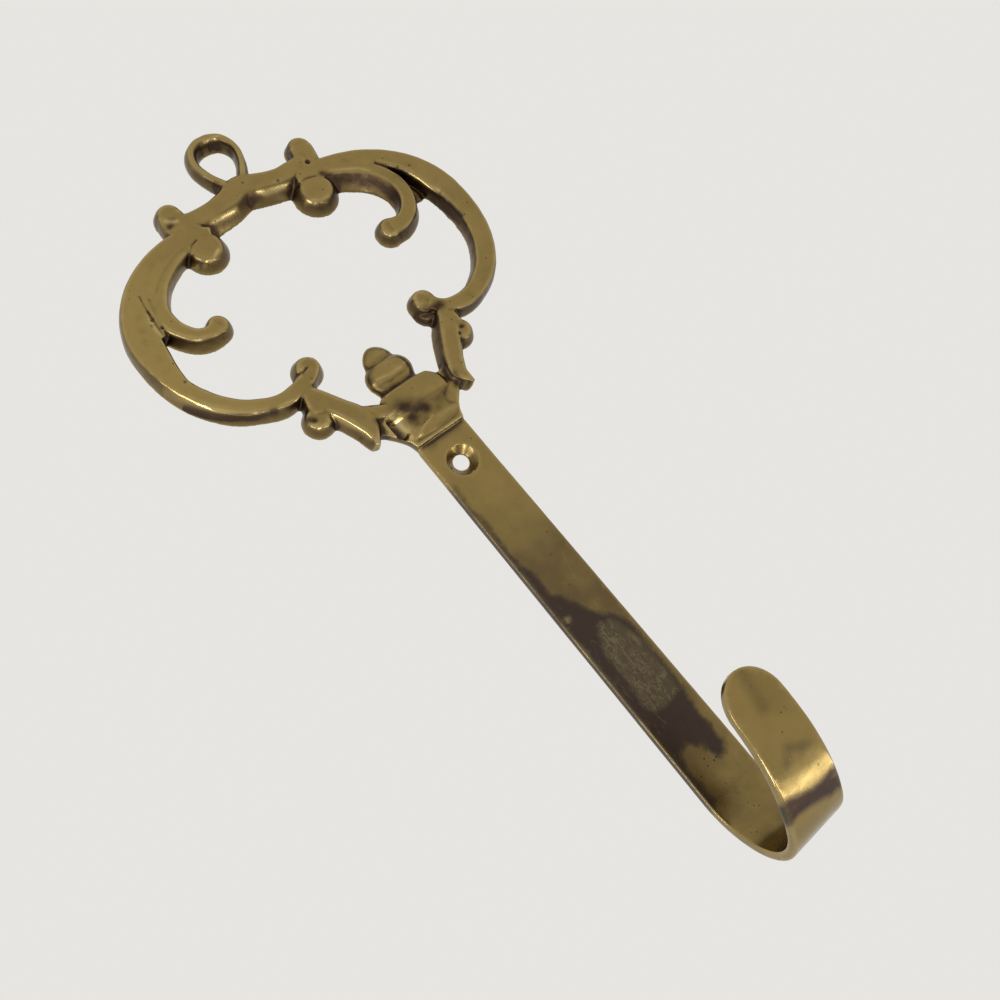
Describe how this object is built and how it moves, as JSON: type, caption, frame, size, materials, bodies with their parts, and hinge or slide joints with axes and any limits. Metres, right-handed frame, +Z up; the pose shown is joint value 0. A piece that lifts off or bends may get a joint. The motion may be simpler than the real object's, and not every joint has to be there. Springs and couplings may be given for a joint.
{
  "type": "wall hook",
  "caption": "Cast brass wall hook with a pierced scroll crest, a hanging loop, a flat strap with a countersunk screw hole and a J hook with a rounded tongue.",
  "frame": {"origin": "centre of the screw hole on the back face that lies on the wall", "axes": "+Z up along the strap towards the crest, +Y into the wall, -Y to the front, +X to the right seen from the front"},
  "size_m": [0.1094, 0.0432, 0.2424],
  "materials": {
    "brass": "polished, aged cast brass"
  },
  "bodies": {
    "root": {"wall_hook": "brass"}
  },
  "joints": []
}
